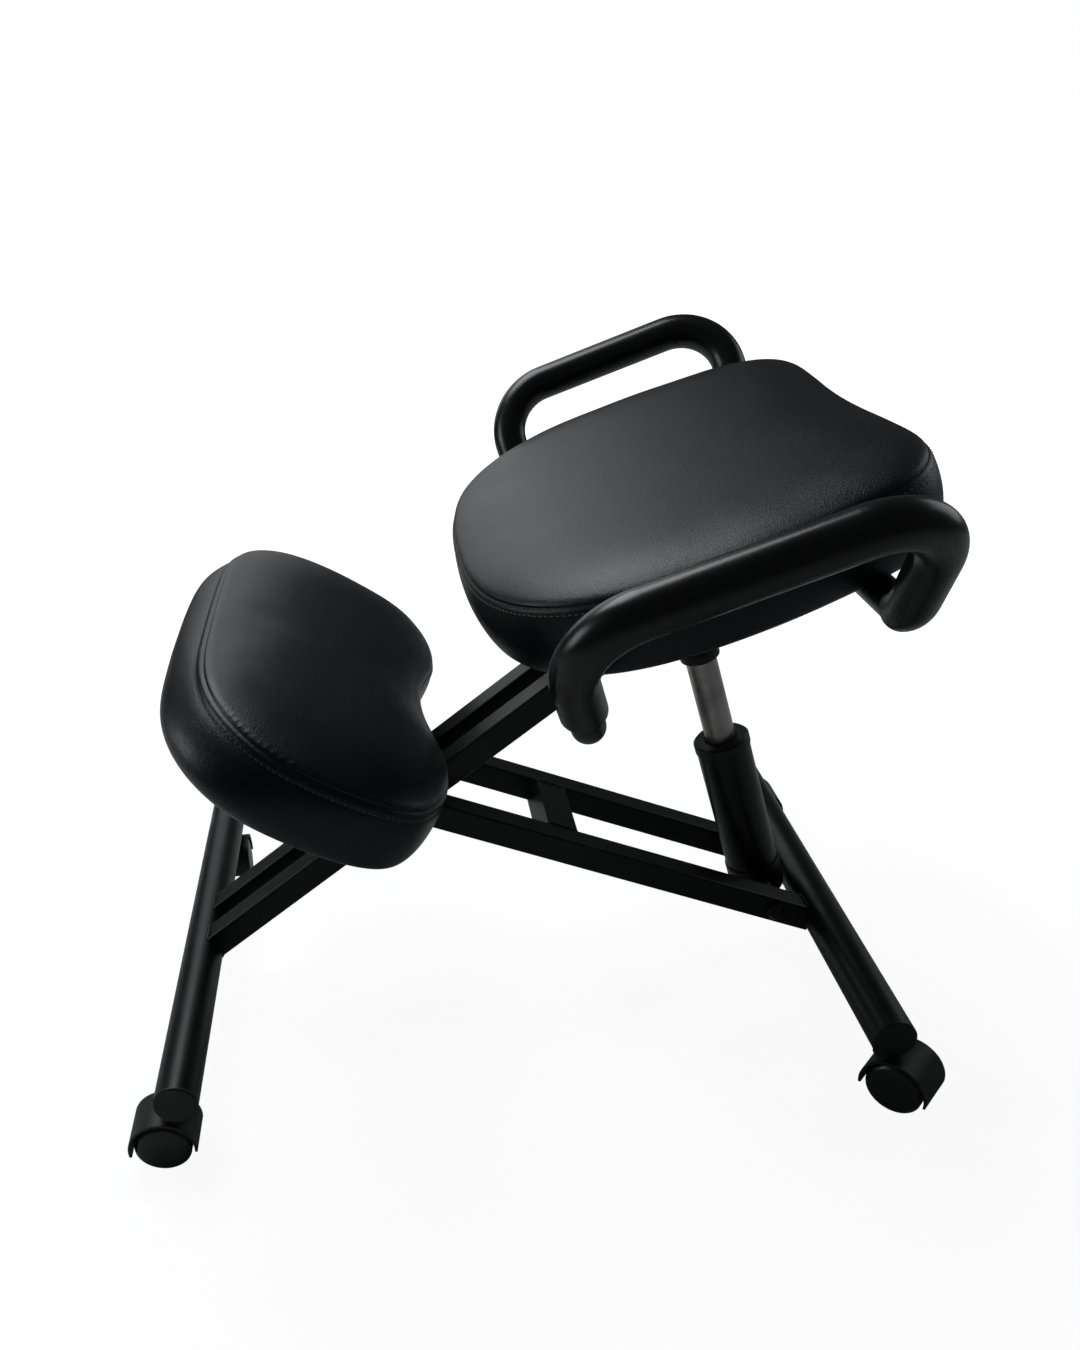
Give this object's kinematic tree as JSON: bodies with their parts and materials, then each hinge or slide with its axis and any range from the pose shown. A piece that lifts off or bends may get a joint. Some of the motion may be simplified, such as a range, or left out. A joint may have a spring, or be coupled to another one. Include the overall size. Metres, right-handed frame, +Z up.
{
  "type": "kneeling chair",
  "caption": "Kneeling chair with crossed square-tube frame, gas lift, tilted padded seat with foam-gripped side handles, padded knee rest and twin-wheel casters.",
  "frame": {"origin": "on the floor, midway between the two floor tubes and midway between the handles", "axes": "+Z up, +Y from the knee rest towards the seat, +X towards the user's left when kneeling and facing -Y"},
  "size_m": [0.6814, 0.7019, 0.5705],
  "materials": {
    "tube_steel": "satin black powder coat",
    "black_plastic": "fine-grained moulded",
    "zinc_bolt": "black zinc",
    "foam_grip": "smooth skinned foam",
    "plywood": "plain plywood",
    "seat_leather": "leather-look coated fabric over foam",
    "bare_steel": "drawn bright steel",
    "lift_steel": "satin black paint",
    "wheel_plastic": "smooth moulded"
  },
  "bodies": {
    "seat_frame": {"front_floor_tube": "tube_steel", "front_tube_caps": "black_plastic", "upper_bar_left": "tube_steel", "upper_bar_right": "tube_steel", "fold_bolt": "zinc_bolt", "fold_washers": "zinc_bolt", "fold_spacer": "zinc_bolt", "seat_bracket": "tube_steel", "bracket_bolt": "zinc_bolt", "lift_head_bolt": "zinc_bolt", "handle_left": "tube_steel", "handle_right": "tube_steel", "grip_left": "foam_grip", "grip_right": "foam_grip", "seat_board": "plywood", "seat_cushion": "seat_leather", "bracket_screws": "bare_steel", "handle_screws": "bare_steel"},
    "knee_frame": {"rear_floor_tube": "tube_steel", "rear_tube_caps": "black_plastic", "lower_bar_left": "tube_steel", "lower_bar_right": "tube_steel", "lower_cross_tube": "tube_steel", "lift_foot_bolt": "zinc_bolt", "lift_foot_spacers": "zinc_bolt", "knee_bracket_left": "tube_steel", "knee_bracket_right": "tube_steel", "knee_board": "plywood", "knee_cushion": "seat_leather", "knee_screws": "bare_steel"},
    "lift_tube": {"lift_sleeve": "lift_steel", "lift_outer_tube": "lift_steel", "lift_guide_collar": "black_plastic", "lift_piston_rod": "bare_steel"},
    "lift_rod": {"lift_cylinder": "bare_steel", "lift_socket": "black_plastic", "lever_pin": "bare_steel"},
    "lever": {"release_lever": "zinc_bolt", "lever_knob": "black_plastic"},
    "release": {"release_pin": "bare_steel"},
    "caster_front_right": {"caster_front_right_hood": "black_plastic", "caster_front_right_stem": "bare_steel", "caster_front_right_axle": "bare_steel"},
    "caster_front_right_wheel_left": {"caster_front_right_wheel_left": "wheel_plastic"},
    "caster_front_right_wheel_right": {"caster_front_right_wheel_right": "wheel_plastic"},
    "caster_front_left": {"caster_front_left_hood": "black_plastic", "caster_front_left_stem": "bare_steel", "caster_front_left_axle": "bare_steel"},
    "caster_front_left_wheel_left": {"caster_front_left_wheel_left": "wheel_plastic"},
    "caster_front_left_wheel_right": {"caster_front_left_wheel_right": "wheel_plastic"},
    "caster_rear_right": {"caster_rear_right_hood": "black_plastic", "caster_rear_right_stem": "bare_steel", "caster_rear_right_axle": "bare_steel"},
    "caster_rear_right_wheel_left": {"caster_rear_right_wheel_left": "wheel_plastic"},
    "caster_rear_right_wheel_right": {"caster_rear_right_wheel_right": "wheel_plastic"},
    "caster_rear_left": {"caster_rear_left_hood": "black_plastic", "caster_rear_left_stem": "bare_steel", "caster_rear_left_axle": "bare_steel"},
    "caster_rear_left_wheel_left": {"caster_rear_left_wheel_left": "wheel_plastic"},
    "caster_rear_left_wheel_right": {"caster_rear_left_wheel_right": "wheel_plastic"}
  },
  "joints": [
    {"name": "frame_fold", "type": "hinge", "parent": "seat_frame", "child": "knee_frame", "pos_m": [0, -0.0776, 0.2294], "axis": [1, 0, 0], "range_deg": [-6, 12]},
    {"name": "lift_foot", "type": "hinge", "parent": "knee_frame", "child": "lift_tube", "pos_m": [0, 0.25403, 0.085], "axis": [1, 0, 0], "range_deg": [-5, 4]},
    {"name": "lift_stroke", "type": "slide", "parent": "lift_tube", "child": "lift_rod", "axis": [0, -0.2628, 0.9648], "range_m": [-0.064, 0.034]},
    {"name": "lever_tilt", "type": "hinge", "parent": "lift_rod", "child": "lever", "pos_m": [-0.011, 0.17702, 0.3677], "axis": [0, 0.9648, 0.2628], "range_deg": [0, 8], "stiffness_Nm_per_rad": 2, "springref_deg": -14.32},
    {"name": "release_press", "type": "slide", "parent": "lift_rod", "child": "release", "axis": [0, 0.2628, -0.9648], "range_m": [0, 0.0024]},
    {"name": "caster_front_right_swivel", "type": "hinge", "parent": "seat_frame", "child": "caster_front_right", "pos_m": [0.226, -0.3019, 0.0733], "axis": [0, 0, 1], "continuous": true},
    {"name": "caster_front_right_wheel_left_spin", "type": "hinge", "parent": "caster_front_right", "child": "caster_front_right_wheel_left", "pos_m": [0.226, -0.3211, 0.0245], "axis": [-1, 0, 0], "continuous": true},
    {"name": "caster_front_right_wheel_right_spin", "type": "hinge", "parent": "caster_front_right", "child": "caster_front_right_wheel_right", "pos_m": [0.226, -0.3211, 0.0245], "axis": [-1, 0, 0], "continuous": true},
    {"name": "caster_front_left_swivel", "type": "hinge", "parent": "seat_frame", "child": "caster_front_left", "pos_m": [-0.226, -0.3019, 0.0733], "axis": [0, 0, 1], "continuous": true},
    {"name": "caster_front_left_wheel_left_spin", "type": "hinge", "parent": "caster_front_left", "child": "caster_front_left_wheel_left", "pos_m": [-0.20681, -0.30123, 0.0245], "axis": [0.0349, -0.9994, 0], "continuous": true},
    {"name": "caster_front_left_wheel_right_spin", "type": "hinge", "parent": "caster_front_left", "child": "caster_front_left_wheel_right", "pos_m": [-0.20681, -0.30123, 0.0245], "axis": [0.0349, -0.9994, 0], "continuous": true},
    {"name": "caster_rear_right_swivel", "type": "hinge", "parent": "knee_frame", "child": "caster_rear_right", "pos_m": [0.226, 0.3019, 0.0733], "axis": [0, 0, 1], "continuous": true},
    {"name": "caster_rear_right_wheel_left_spin", "type": "hinge", "parent": "caster_rear_right", "child": "caster_rear_right_wheel_left", "pos_m": [0.23934, 0.31571, 0.0245], "axis": [0.7193, -0.6947, 0], "continuous": true},
    {"name": "caster_rear_right_wheel_right_spin", "type": "hinge", "parent": "caster_rear_right", "child": "caster_rear_right_wheel_right", "pos_m": [0.23934, 0.31571, 0.0245], "axis": [0.7193, -0.6947, 0], "continuous": true},
    {"name": "caster_rear_left_swivel", "type": "hinge", "parent": "knee_frame", "child": "caster_rear_left", "pos_m": [-0.226, 0.3019, 0.0733], "axis": [0, 0, 1], "continuous": true},
    {"name": "caster_rear_left_wheel_left_spin", "type": "hinge", "parent": "caster_rear_left", "child": "caster_rear_left_wheel_left", "pos_m": [-0.226, 0.3211, 0.0245], "axis": [1, 0, 0], "continuous": true},
    {"name": "caster_rear_left_wheel_right_spin", "type": "hinge", "parent": "caster_rear_left", "child": "caster_rear_left_wheel_right", "pos_m": [-0.226, 0.3211, 0.0245], "axis": [1, 0, 0], "continuous": true}
  ],
  "couplings": [
    {"joint": "lift_foot", "follows": "frame_fold", "ratio": -0.2944},
    {"joint": "lift_stroke", "follows": "frame_fold", "m_per_rad": -0.2855},
    {"joint": "release_press", "follows": "lever_tilt", "m_per_rad": 0.015}
  ]
}
